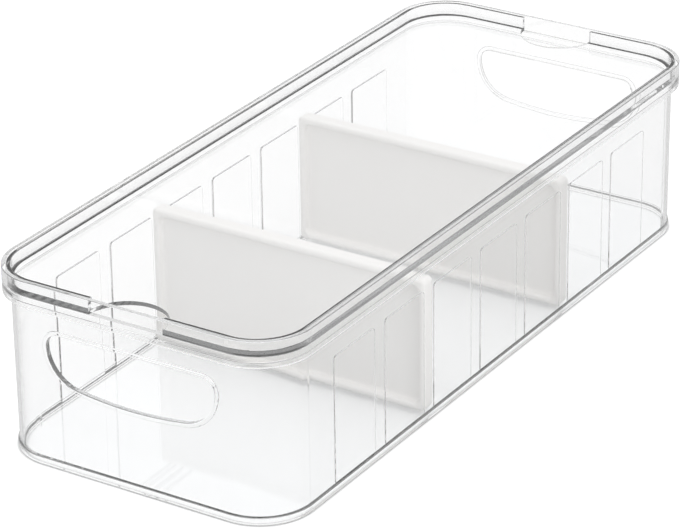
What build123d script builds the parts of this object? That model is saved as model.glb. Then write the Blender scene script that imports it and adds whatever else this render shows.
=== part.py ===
from build123d import *
import os
from math import sqrt

# Clear fridge organizer bin with a drop-in lid and two lift-out dividers.
# X runs across the bin, Y along it with the near end at -Y, Z up. The origin lies on the
# table under the middle of the bin. Millimetres throughout.

# Overall sizes
length = 390.0
width = 160.0
height = 92.0
collar_radius = 27.0

# Tub walls: insets are measured in from the outermost rim, draft is over the wall height
wall = 1.8
wall_inset = 3.0
wall_draft = 0.1
corner_step = 1.0

# Floor and the foot ring under it
floor_top = 3.7
floor_thickness = 1.6
floor_fillet = 0.3
foot_proud = 0.7
foot_width = 3.4
foot_round = 0.6

# Collar, the shelf inside it that seats the lid, and the groove under the shelf that leaves
# the bottom of the collar as a free skirt
collar_height = 13.0
collar_wall = 2.0
seat_depth = 7.9
shelf_thickness = 3.0
groove_skirt_round = 0.5
groove_wall_round = 0.45

# Pads that leave the divider slots on the long walls
pad_count = 7
pad_end_gap = 21.5
slot_width = 8.8
pad_proud = 0.8
pad_drop = 4.5
pad_corner = 2.0
pad_round = 0.3
pad_root = 0.5

# Hand hole in each end wall and the raised bead round it
hole_side_gap = 3.7
hole_drop = 11.2
hole_height = 27.0
hole_top_radius = 6.0
hole_bow = 2.0
bead_width = 2.3
bead_proud = 0.7
bead_round = 0.65

# Lid
lid_gap = 0.3
panel_thickness = 2.0
upstand_wall = 1.85
upstand_drop = 0.3
finger_radius = 19.8
finger_reach = 20.8
recess_fillet = 0.5

# Dividers, one in the second slot from each end
divider_headroom = 12.8
divider_gap = 0.3
divider_web = 1.8
divider_rim = 3.8
divider_corner = 3.0
divider_top_corner = 2.5
divider_round = 1.8
pocket_round = 1.6
pocket_fillet = 1.4
front_slot = 2
rear_slot = 5

# Small rounding of moulded edges, an allowance that lets cutters run past a face and the
# slack within which an edge counts as lying level
rim_round = 0.4
past = 5.0
level_slack = 0.001

# Heights, insets and radii that follow from the sizes above
wall_radius = collar_radius - corner_step
inner_radius = wall_radius - wall
collar_bottom = height - collar_height
seat_top = height - seat_depth
shelf_bottom = seat_top - shelf_thickness
floor_bottom = floor_top - floor_thickness
foot_inset = wall_inset + wall_draft - foot_proud
lid_inset = collar_wall + lid_gap
recess_inset = lid_inset + upstand_wall
panel_top = seat_top + panel_thickness
divider_top = seat_top - divider_headroom
divider_thickness = slot_width - 2 * divider_gap
pad_top = divider_top - pad_drop
hole_top = collar_bottom - hole_drop
hole_bottom = hole_top - hole_height
hole_side_radius = hole_height - hole_top_radius - hole_bow
hole_half_width = width / 2 - wall_inset - wall_radius - bead_width - hole_side_gap
finger_centre = length / 2 - finger_reach + finger_radius


def outer_inset(z):
    """Inset of the outer wall face at a height, with the draft."""
    return wall_inset + wall_draft * (1 - z / seat_top)


def inner_inset(z):
    """Inset of the inner wall face at a height."""
    return outer_inset(z) + wall


# The pads share the straight part of a long wall
pad_run = length - 2 * (inner_inset(0) + inner_radius + pad_end_gap)
pad_pitch = (pad_run + slot_width) / pad_count
pad_width = pad_pitch - slot_width


def outline(inset, radius, z):
    """Rounded-rectangle face at a height, set in from the outermost rim."""
    face = RectangleRounded(width - 2 * inset, length - 2 * inset, radius)
    return Plane.XY.offset(z) * face


def slab(inset, radius, z_low, z_high):
    """Straight-sided rounded block between two heights."""
    return extrude(outline(inset, radius, z_low), z_high - z_low)


def drafted(low, high):
    """Block between two outlines, each given as inset, radius and height."""
    return loft([outline(*low).face(), outline(*high).face()], ruled=True)


def edges_at(solid, z):
    """Edges that lie flat at one height."""
    return solid.edges().filter_by_position(Axis.Z, z - level_slack, z + level_slack)


def faces_at(solid, z):
    """Flat level faces at one height."""
    level = solid.faces().filter_by(Axis.Z)
    return level.filter_by_position(Axis.Z, z - level_slack, z + level_slack)


# Tub
def tub_outside():
    """Foot, drafted wall and collar as one full block, with the groove under the shelf."""
    foot = slab(foot_inset, wall_radius + foot_proud, 0, floor_top)
    foot = fillet(edges_at(foot, 0), foot_round)
    foot = fillet(edges_at(foot, floor_top), foot_proud / 2)
    wall_block = drafted(
        (outer_inset(floor_bottom), wall_radius, floor_bottom),
        (outer_inset(seat_top), wall_radius, seat_top),
    )
    skirt_room = slab(collar_wall, collar_radius - collar_wall, collar_bottom - past, shelf_bottom)
    skirt_room = fillet(edges_at(skirt_room, shelf_bottom), groove_skirt_round)
    collar = slab(0, collar_radius, collar_bottom, height) - skirt_room
    collar = fillet(edges_at(collar, height) + edges_at(collar, collar_bottom), rim_round)
    body = foot + wall_block + collar
    groove_roof = faces_at(body, shelf_bottom)[0]
    return fillet(groove_roof.inner_wires()[0].edges(), groove_wall_round)


def tub_cavity():
    """Room inside the walls up to the shelf, and the inside of the collar above it."""
    room = drafted(
        (inner_inset(floor_top), inner_radius, floor_top),
        (inner_inset(seat_top), inner_radius, seat_top),
    )
    room = fillet(edges_at(room, floor_top), floor_fillet)
    inside_collar = slab(collar_wall, collar_radius - collar_wall, seat_top, height + past)
    return room + inside_collar


def pad(side):
    """One raised pad at the middle of a long wall, leaning with the wall's draft."""
    half = width / 2
    root = half - inner_inset(0) + wall / 2
    low = floor_top - pad_root
    face_top = half - inner_inset(pad_top) - pad_proud
    face_low = half - inner_inset(low) - pad_proud
    section = Plane.XZ * make_face(
        Polyline(
            (side * face_low, low),
            (side * root, low),
            (side * root, pad_top),
            (side * face_top, pad_top),
            close=True,
        )
    )
    block = extrude(section, pad_width / 2, both=True)
    corners = edges_at(block, pad_top).filter_by(Axis.X)
    block = fillet(corners, pad_corner)
    face = block.faces().sort_by(Axis.X)[0 if side > 0 else -1]
    rim = [edge for edge in face.edges() if edge.center().Z > floor_top]
    return fillet(rim, pad_round)


def pads():
    """Both rows of pads."""
    row = []
    for side in (1, -1):
        one = pad(side)
        for index in range(pad_count):
            row.append(Pos(0, (index - (pad_count - 1) / 2) * pad_pitch, 0) * one)
    return row


def hole_face(grow):
    """D-shaped hand hole outline, grown outward by a margin, drawn across X and Z.

    Straight top, small upper corners, rounder sides and a nearly flat bottom arc that
    touches both side arcs.
    """
    top = hole_top + grow
    half = hole_half_width + grow
    small = hole_top_radius + grow
    round_side = hole_side_radius + grow
    centre_z = hole_top - hole_top_radius
    side_x = hole_half_width - hole_side_radius
    rise = centre_z - hole_bottom
    bottom_radius = (side_x**2 + rise**2 - hole_side_radius**2) / (2 * (rise - hole_side_radius))
    bottom_z = hole_bottom + bottom_radius
    span = bottom_radius - hole_side_radius
    toward_x = side_x / span
    toward_z = (centre_z - bottom_z) / span
    meet_x = (bottom_radius + grow) * toward_x
    meet_z = bottom_z + (bottom_radius + grow) * toward_z
    corner_x = hole_half_width - hole_top_radius
    diagonal = sqrt(0.5)
    side_mid_x = side_x + round_side * sqrt((1 + toward_x) / 2)
    side_mid_z = centre_z - round_side * sqrt((1 - toward_x) / 2)
    edges = [Line((-corner_x, top), (corner_x, top))]
    for hand in (1, -1):
        edges.append(
            ThreePointArc(
                (hand * corner_x, top),
                (hand * (corner_x + small * diagonal), centre_z + small * diagonal),
                (hand * half, centre_z),
            )
        )
        edges.append(
            ThreePointArc(
                (hand * half, centre_z),
                (hand * side_mid_x, side_mid_z),
                (hand * meet_x, meet_z),
            )
        )
    edges.append(ThreePointArc((meet_x, meet_z), (0, hole_bottom - grow), (-meet_x, meet_z)))
    return make_face(edges)


def hand_bead(end):
    """Raised ring round the hand hole on the outside of one end wall."""
    ring = hole_face(bead_width) - hole_face(0)
    face_y = length / 2 - outer_inset(hole_bottom) + bead_proud
    block = extrude(Plane.XZ * ring, bead_proud + wall / 2)
    outer = block.faces().sort_by(Axis.Y)[-1]
    block = fillet(outer.edges(), bead_round)
    block = Pos(0, face_y, 0) * block
    return block if end > 0 else mirror(block, about=Plane.XZ)


def hand_cut(end):
    """Cutter for one hand hole."""
    block = extrude(Plane.XZ * hole_face(0), wall_inset + wall_draft + wall + 2 * past)
    block = Pos(0, length / 2 + past, 0) * block
    return block if end > 0 else mirror(block, about=Plane.XZ)


def build_tub():
    tub = tub_outside() - tub_cavity()
    under = slab(foot_inset + foot_width, wall_radius - foot_width + foot_proud, -past, floor_bottom)
    tub -= under
    for block in pads():
        tub += block
    for end in (1, -1):
        tub += hand_bead(end)
        tub -= hand_cut(end)
    return tub


# Lid
def build_lid():
    """Flat panel with an upstand all round, cut at both ends for the fingers."""
    top = height - upstand_drop
    lid = slab(lid_inset, collar_radius - lid_inset, seat_top, top)
    lid = fillet(edges_at(lid, seat_top), rim_round / 2)
    recess = slab(recess_inset, collar_radius - recess_inset, panel_top, top + past)
    recess = fillet(edges_at(recess, panel_top), recess_fillet)
    lid -= recess
    lid = fillet(edges_at(lid, top), rim_round)
    for end in (1, -1):
        cut = Pos(0, end * finger_centre, height) * Cylinder(finger_radius, height)
        lid -= cut
    return lid


# Dividers
def divider_outline(trim, corner, top_corner):
    """Side view of a divider that follows the drafted walls, trimmed in all round."""
    low = floor_top + trim
    high = divider_top - trim
    half_low = width / 2 - inner_inset(floor_top) - divider_gap - trim
    half_high = width / 2 - inner_inset(divider_top) - divider_gap - trim
    side = make_face(
        Polyline((-half_low, low), (half_low, low), (half_high, high), (-half_high, high), close=True)
    )
    side = fillet(side.vertices().sort_by(Axis.Y)[:2], corner)
    return fillet(side.vertices().sort_by(Axis.Y)[-2:], top_corner)


def build_divider(slot):
    """Pan-like divider: a thin web in the middle of a rounded rim that runs all round."""
    plate = extrude(
        Plane.XZ * divider_outline(0, divider_corner, divider_top_corner),
        divider_thickness / 2,
        both=True,
    )
    outer_rims = plate.faces().sort_by(Axis.Y)[0].edges() + plate.faces().sort_by(Axis.Y)[-1].edges()
    plate = fillet(outer_rims, divider_round)
    depth = (divider_thickness - divider_web) / 2
    pocket = extrude(
        Plane.XZ * divider_outline(divider_rim, divider_corner, divider_corner), depth + past
    )
    pocket = fillet(pocket.faces().sort_by(Axis.Y)[-1].edges(), pocket_fillet)
    near_pocket = Pos(0, -divider_web / 2, 0) * pocket
    plate -= near_pocket
    plate -= mirror(near_pocket, about=Plane.XZ)
    for side in (0, -1):
        rim_face = plate.faces().filter_by(Axis.Y).sort_by(Axis.Y)[side]
        plate = fillet(rim_face.inner_wires()[0].edges(), pocket_round)
    return Pos(0, (slot - pad_count / 2) * pad_pitch, 0) * plate


parts = {
    "tub": build_tub(),
    "lid": build_lid(),
    "front_divider": build_divider(front_slot),
    "rear_divider": build_divider(rear_slot),
}

os.makedirs("parts", exist_ok=True)
for name, shape in parts.items():
    export_step(shape, "parts/" + name + ".step")
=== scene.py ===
import math

import bpy
from mathutils import Matrix, Vector

# A long clear bin for a fridge shelf, with a drop-in lid and two lift-out dividers. The
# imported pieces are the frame: X across the bin, Y along it, Z up, in metres.
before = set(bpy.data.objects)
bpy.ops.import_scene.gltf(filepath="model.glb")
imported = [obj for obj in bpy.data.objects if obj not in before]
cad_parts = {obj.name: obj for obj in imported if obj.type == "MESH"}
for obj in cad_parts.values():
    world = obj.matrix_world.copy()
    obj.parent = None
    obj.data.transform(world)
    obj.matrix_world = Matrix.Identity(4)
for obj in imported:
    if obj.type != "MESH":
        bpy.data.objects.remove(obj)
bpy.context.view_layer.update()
scene = bpy.context.scene


# Tub and lid plastic
# Both clear pieces are injection moulded in one water-clear resin and polished by the mould.
# Only faint flow ripples, hairline handling marks and a breath of blue show in it.
def fill(tree, node, sockets):
    """Fills a node's inputs: a plain value is set, and another node's output is linked."""
    for socket, value in sockets.items():
        if isinstance(value, bpy.types.NodeSocket):
            tree.links.new(value, node.inputs[socket])
        else:
            node.inputs[socket].default_value = value
    return node


def add(tree, kind, sockets, **settings):
    """Adds one shader node, sets its own settings, and then fills its inputs."""
    node = tree.nodes.new("ShaderNode" + kind)
    for setting, value in settings.items():
        setattr(node, setting, value)
    return fill(tree, node, sockets)


def reckon(tree, operation, first, second):
    """The product, difference or larger of two values, or whether the first is the greater."""
    return add(tree, "Math", {0: first, 1: second}, operation=operation).outputs[0]


def blank_material(name):
    """A material with no nodes in it yet, and its node tree."""
    material = bpy.data.materials.new(name)
    material.use_nodes = True
    material.node_tree.nodes.clear()
    return material, material.node_tree


def mark_group():
    """Ripples left by the flowing resin, and sparse hairline marks from handling.

    Ripple is one large soft noise, drawn out along the bin. Marks are thin lines where
    either of two long drawn noises, each turned its own way, rises past a level.
    """
    ripple_stretch = (1.0, 0.35, 1.0)
    mark_stretch = (1.0, 0.03, 1.0)
    mark_turns_and_finenesses = ((0.4, 420.0), (2.1, 560.0))
    mark_begins, mark_full = 0.70, 0.78
    group = bpy.data.node_groups.new("moulded_surface", "ShaderNodeTree")
    face = group.interface
    face.new_socket("Vector", in_out="INPUT", socket_type="NodeSocketVector")
    face.new_socket("Ripple", in_out="OUTPUT", socket_type="NodeSocketFloat")
    face.new_socket("Marks", in_out="OUTPUT", socket_type="NodeSocketFloat")
    place = group.nodes.new("NodeGroupInput").outputs["Vector"]
    along = add(group, "Mapping", {"Vector": place, "Scale": ripple_stretch})
    ripple = add(group, "TexNoise", {
        "Vector": along.outputs["Vector"],
        "Scale": 38.0,
        "Detail": 1.0,
    })
    marks = []
    for turn, fineness in mark_turns_and_finenesses:
        turned = add(group, "Mapping", {
            "Vector": place,
            "Rotation": (0.0, 0.0, turn),
            "Scale": mark_stretch,
        })
        lines = add(group, "TexNoise", {
            "Vector": turned.outputs["Vector"],
            "Scale": fineness,
            "Detail": 2.0,
        })
        thin = add(group, "MapRange", {
            "Value": lines.outputs["Fac"],
            "From Min": mark_begins,
            "From Max": mark_full,
        })
        marks.append(thin.outputs[0])
    fill(group, group.nodes.new("NodeGroupOutput"), {
        "Ripple": ripple.outputs["Fac"],
        "Marks": reckon(group, "MAXIMUM", *marks),
    })
    return group


moulded_surface = mark_group()


def clear_resin(name, painted_trapped_glow):
    """Solid clear plastic: ripples bend its surface a little, marks only make it duller.

    Lamps and dull surfaces see straight through it, so it casts hardly any shadow. A ray
    that has been mirrored more than thirty times is lost inside it, and finds an even
    painted glow there, which stands for the grey that a long thin panel shows along its edge.
    """
    polished, marked = 0.003, 0.103
    mirrored_too_often = 32.5
    material, tree = blank_material(name)
    place = add(tree, "TexCoord", {})
    surface = add(tree, "Group", {"Vector": place.outputs["Object"]}, node_tree=moulded_surface)
    rough = add(tree, "MapRange", {
        "Value": surface.outputs["Marks"],
        "To Min": polished,
        "To Max": marked,
    })
    bump = add(tree, "Bump", {
        "Height": surface.outputs["Ripple"],
        "Strength": 0.08,
        "Distance": 0.0004,
    })
    glass = add(tree, "BsdfPrincipled", {
        "Base Color": (0.998, 0.999, 1.0, 1.0),
        "Transmission Weight": 1.0,
        "IOR": 1.49,
        "Roughness": rough.outputs[0],
        "Normal": bump.outputs["Normal"],
    })
    see_through = add(tree, "BsdfTransparent", {"Color": (0.99, 0.993, 0.995, 1.0)})
    path = add(tree, "LightPath", {})
    from_dull = reckon(tree, "MAXIMUM", path.outputs["Is Shadow Ray"], path.outputs["Is Diffuse Ray"])
    resin = add(tree, "MixShader", {0: from_dull, 1: glass.outputs[0], 2: see_through.outputs[0]})
    lost = reckon(tree, "GREATER_THAN", path.outputs["Glossy Depth"], mirrored_too_often)
    # Painted light: the plastic itself glows for rays that are lost in it.
    glow = add(tree, "Emission", {"Strength": painted_trapped_glow})
    settled = add(tree, "MixShader", {0: lost, 1: resin.outputs[0], 2: glow.outputs[0]})
    depth_tint = add(tree, "VolumeAbsorption", {"Color": (0.2, 0.22, 0.23, 1.0), "Density": 1.3})
    add(tree, "OutputMaterial", {"Surface": settled.outputs[0], "Volume": depth_tint.outputs[0]})
    return material


def put_on(piece, material):
    """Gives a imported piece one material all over."""
    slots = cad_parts[piece].data.materials
    slots.clear()
    slots.append(material)


put_on("tub", clear_resin("clear_tub", painted_trapped_glow=0.22))
put_on("lid", clear_resin("clear_lid", painted_trapped_glow=0.31))


# Dividers
# Two lift-out dividers moulded in an off-white satin plastic, each a thin web inside a rim.
# They stand in the slots between the tub's pads.
def satin_white():
    """Off-white satin plastic: a soft uneven tone, and a fine grain in gloss and relief."""
    greyer_white = (0.905, 0.885, 0.865, 1.0)
    lighter_white = (0.925, 0.91, 0.892, 1.0)
    glossiest, dullest = 0.38, 0.52
    grain_depth = 0.00008
    material, tree = blank_material("divider_white")
    place = add(tree, "TexCoord", {}).outputs["Object"]
    cloud = add(tree, "TexNoise", {"Vector": place, "Scale": 22.0, "Detail": 3.0})
    tone = add(tree, "Mix", {
        "Factor": cloud.outputs["Fac"],
        "A": greyer_white,
        "B": lighter_white,
    }, data_type="RGBA")
    grain = add(tree, "TexNoise", {"Vector": place, "Scale": 2600.0, "Detail": 2.0})
    rough = add(tree, "MapRange", {
        "Value": grain.outputs["Fac"],
        "To Min": glossiest,
        "To Max": dullest,
    })
    bump = add(tree, "Bump", {
        "Height": grain.outputs["Fac"],
        "Strength": 0.25,
        "Distance": grain_depth,
    })
    plastic = add(tree, "BsdfPrincipled", {
        "Base Color": tone.outputs["Result"],
        "Roughness": rough.outputs[0],
        "Normal": bump.outputs["Normal"],
    })
    add(tree, "OutputMaterial", {"Surface": plastic.outputs[0]})
    return material


divider_plastic = satin_white()
for divider in ("front_divider", "rear_divider"):
    put_on(divider, divider_plastic)


# Floor
# A plain white sheet under the bin. Rays that have been mirrored inside or off the plastic
# see it darker: painted shade, as if black cards stood round the set, which draws the edges.
def grey(lightness):
    """A colour without hue, from 0 black to 1 white."""
    return (lightness, lightness, lightness, 1.0)


def white_sheet():
    """White paint that is lighter or greyer by the way it is seen.

    Seen straight or through the plastic, it is lifted to a clean white by a little glow.
    Mirrored, it is greyer and has no glow, and it is greyer still for rays long trapped in
    the plastic: painted shade for a dark room. A thin line of painted contact shade lies
    along the foot, which mirrors don't show.
    """
    seen_lift, seen_through_lift = 0.36, 0.235
    mirrored_once, mirrored_long = 0.5, 22.5
    shade_reach, darkest_shade = 0.0016, 0.12
    material, tree = blank_material("studio_floor")
    path = add(tree, "LightPath", {})
    depth = path.outputs["Glossy Depth"]
    mirrored = reckon(tree, "GREATER_THAN", depth, mirrored_once)
    trapped = reckon(tree, "GREATER_THAN", depth, mirrored_long)
    # Painted shade: the white paint is greyer in mirrors, and greyer again for rays trapped in the
    # plastic.
    paint = add(tree, "Mix", {
        "Factor": mirrored,
        "A": grey(0.78),
        "B": grey(0.70),
    }, data_type="RGBA")
    paint_or_painted_shade = add(tree, "Mix", {
        "Factor": trapped,
        "A": paint.outputs["Result"],
        "B": grey(0.52),
    }, data_type="RGBA")
    # Painted contact shade: occlusion near the foot darkens the paint and its glow, but not in
    # mirrors.
    near_foot = add(tree, "AmbientOcclusion", {"Distance": shade_reach}, samples=8)
    contact = add(tree, "MapRange", {"Value": near_foot.outputs["AO"], "To Min": darkest_shade})
    shade = reckon(tree, "MAXIMUM", contact.outputs[0], mirrored)
    shaded = add(tree, "VectorMath", {
        0: paint_or_painted_shade.outputs["Result"],
        "Scale": shade,
    }, operation="SCALE")
    seen = reckon(tree, "MULTIPLY", path.outputs["Is Camera Ray"], seen_lift)
    seen_through = reckon(tree, "MULTIPLY", path.outputs["Is Transmission Ray"], seen_through_lift)
    lift = reckon(tree, "MAXIMUM", seen, seen_through)
    not_mirrored = reckon(tree, "SUBTRACT", 1.0, mirrored)
    straight_lift = reckon(tree, "MULTIPLY", lift, not_mirrored)
    paper = add(tree, "BsdfPrincipled", {
        "Base Color": shaded.outputs[0],
        "Roughness": 0.9,
        "Specular IOR Level": 0.0,
        "Emission Color": grey(1.0),
        "Emission Strength": reckon(tree, "MULTIPLY", straight_lift, shade),
    })
    add(tree, "OutputMaterial", {"Surface": paper.outputs[0]})
    return material


# The sheet reaches far out of the picture, and lies a hair under the foot.
sheet_half, sheet_level = 6.0, -0.0001
sheet_mesh = bpy.data.meshes.new("studio_floor")
sheet_mesh.from_pydata([
    (-sheet_half, -sheet_half, sheet_level),
    (sheet_half, -sheet_half, sheet_level),
    (sheet_half, sheet_half, sheet_level),
    (-sheet_half, sheet_half, sheet_level),
], [], [(0, 1, 2, 3)])
sheet_mesh.materials.append(white_sheet())
floor = bpy.data.objects.new("studio_floor", sheet_mesh)
scene.collection.objects.link(floor)


# Studio tent
# An even white tent overhead that stops a little above the table, with the dark room under
# its edge. Dull surfaces get most of their light from the top of the tent.
def white_tent():
    """Light by direction, Z being the height that a ray points to, from 0 level to 1 up.

    The camera sees plain white. Rays from the plastic see the dark room up to the tent's
    edge and white above it, or one even grey once they have long been trapped. Dull
    surfaces get a light that grows evenly from level to overhead.
    """
    edge_begins, edge_ends = 0.10, 0.30
    dark_room, tent_white = 0.32, 1.05
    mirrored_long, trapped_grey = 22.5, 0.50
    level_light, overhead_light = 0.38, 1.33
    world = bpy.data.worlds.new("white_tent")
    world.use_nodes = True
    tree = world.node_tree
    tree.nodes.clear()
    direction = add(tree, "TexCoord", {}).outputs["Generated"]
    height = add(tree, "SeparateXYZ", {0: direction}).outputs["Z"]
    path = add(tree, "LightPath", {})
    tent_edge = add(tree, "MapRange", {
        "Value": height,
        "From Min": edge_begins,
        "From Max": edge_ends,
        "To Min": dark_room,
        "To Max": tent_white,
    })
    trapped = reckon(tree, "GREATER_THAN", path.outputs["Glossy Depth"], mirrored_long)
    in_plastic = add(tree, "Mix", {"Factor": trapped, "A": tent_edge.outputs[0], "B": trapped_grey})
    on_dull = add(tree, "MapRange", {
        "Value": height,
        "To Min": level_light,
        "To Max": overhead_light,
    })
    strength = add(tree, "Mix", {
        "Factor": path.outputs["Is Diffuse Ray"],
        "A": in_plastic.outputs["Result"],
        "B": on_dull.outputs[0],
    })
    lit = add(tree, "Background", {"Color": grey(1.0), "Strength": strength.outputs["Result"]})
    plain_white = add(tree, "Background", {"Color": grey(1.0)})
    seen = add(tree, "MixShader", {
        0: path.outputs["Is Camera Ray"],
        1: lit.outputs[0],
        2: plain_white.outputs[0],
    })
    add(tree, "OutputWorld", {"Surface": seen.outputs[0]})
    return world


scene.world = white_tent()


# Side softbox
# A small square softbox with a grid, low at the right of the near end. It only adds a little
# to dull surfaces, and neither the camera nor the plastic shows it.
softbox = bpy.data.lights.new("side_softbox", "AREA")
softbox.shape = "SQUARE"
softbox.size = 0.12
softbox.spread = math.radians(70.0)
softbox.energy = 0.04
softbox_place = Vector((0.34, -0.17, 0.14))
softbox_aim = Vector((0.0, -0.05, 0.11))
softbox_stand = bpy.data.objects.new("side_softbox", softbox)
softbox_stand.location = softbox_place
softbox_stand.rotation_euler = (softbox_aim - softbox_place).to_track_quat("-Z", "Y").to_euler()
softbox_stand.visible_camera = False
softbox_stand.visible_glossy = False
softbox_stand.visible_transmission = False
scene.collection.objects.link(softbox_stand)


# Camera
# A long lens from the right and above the near end, with the slight tilt of the picture. Its
# focal length is in pixels of the picture's width.
picture_width = 680
focal_pixels = 3515.19
sensor_width = 36.0
camera_place = Vector((0.81640, -1.29485, 0.76988))
azimuth = math.radians(32.628)
elevation = math.radians(25.721)
roll = math.radians(-0.827)
back = Vector((
    math.sin(azimuth) * math.cos(elevation),
    -math.cos(azimuth) * math.cos(elevation),
    math.sin(elevation),
))
level_right = Vector((math.cos(azimuth), math.sin(azimuth), 0.0))
level_up = back.cross(level_right)
right = level_right * math.cos(roll) + level_up * math.sin(roll)
up = level_up * math.cos(roll) - level_right * math.sin(roll)
camera_turn = Matrix((right, up, back)).transposed().to_4x4()
camera = bpy.data.objects.new("camera", bpy.data.cameras.new("camera"))
camera.matrix_world = Matrix.Translation(camera_place) @ camera_turn
camera.data.sensor_width = sensor_width
camera.data.lens = focal_pixels * sensor_width / picture_width
camera.data.clip_end = 100.0
scene.collection.objects.link(camera)
scene.camera = camera
scene.view_settings.view_transform = "Standard"


# Long light paths
# Light runs on inside the thin clear walls and passes many faces before it comes out, so it
# is followed for long.
longest_path = 96
scene.cycles.max_bounces = longest_path
scene.cycles.transmission_bounces = longest_path
scene.cycles.glossy_bounces = longest_path
scene.cycles.transparent_max_bounces = 24
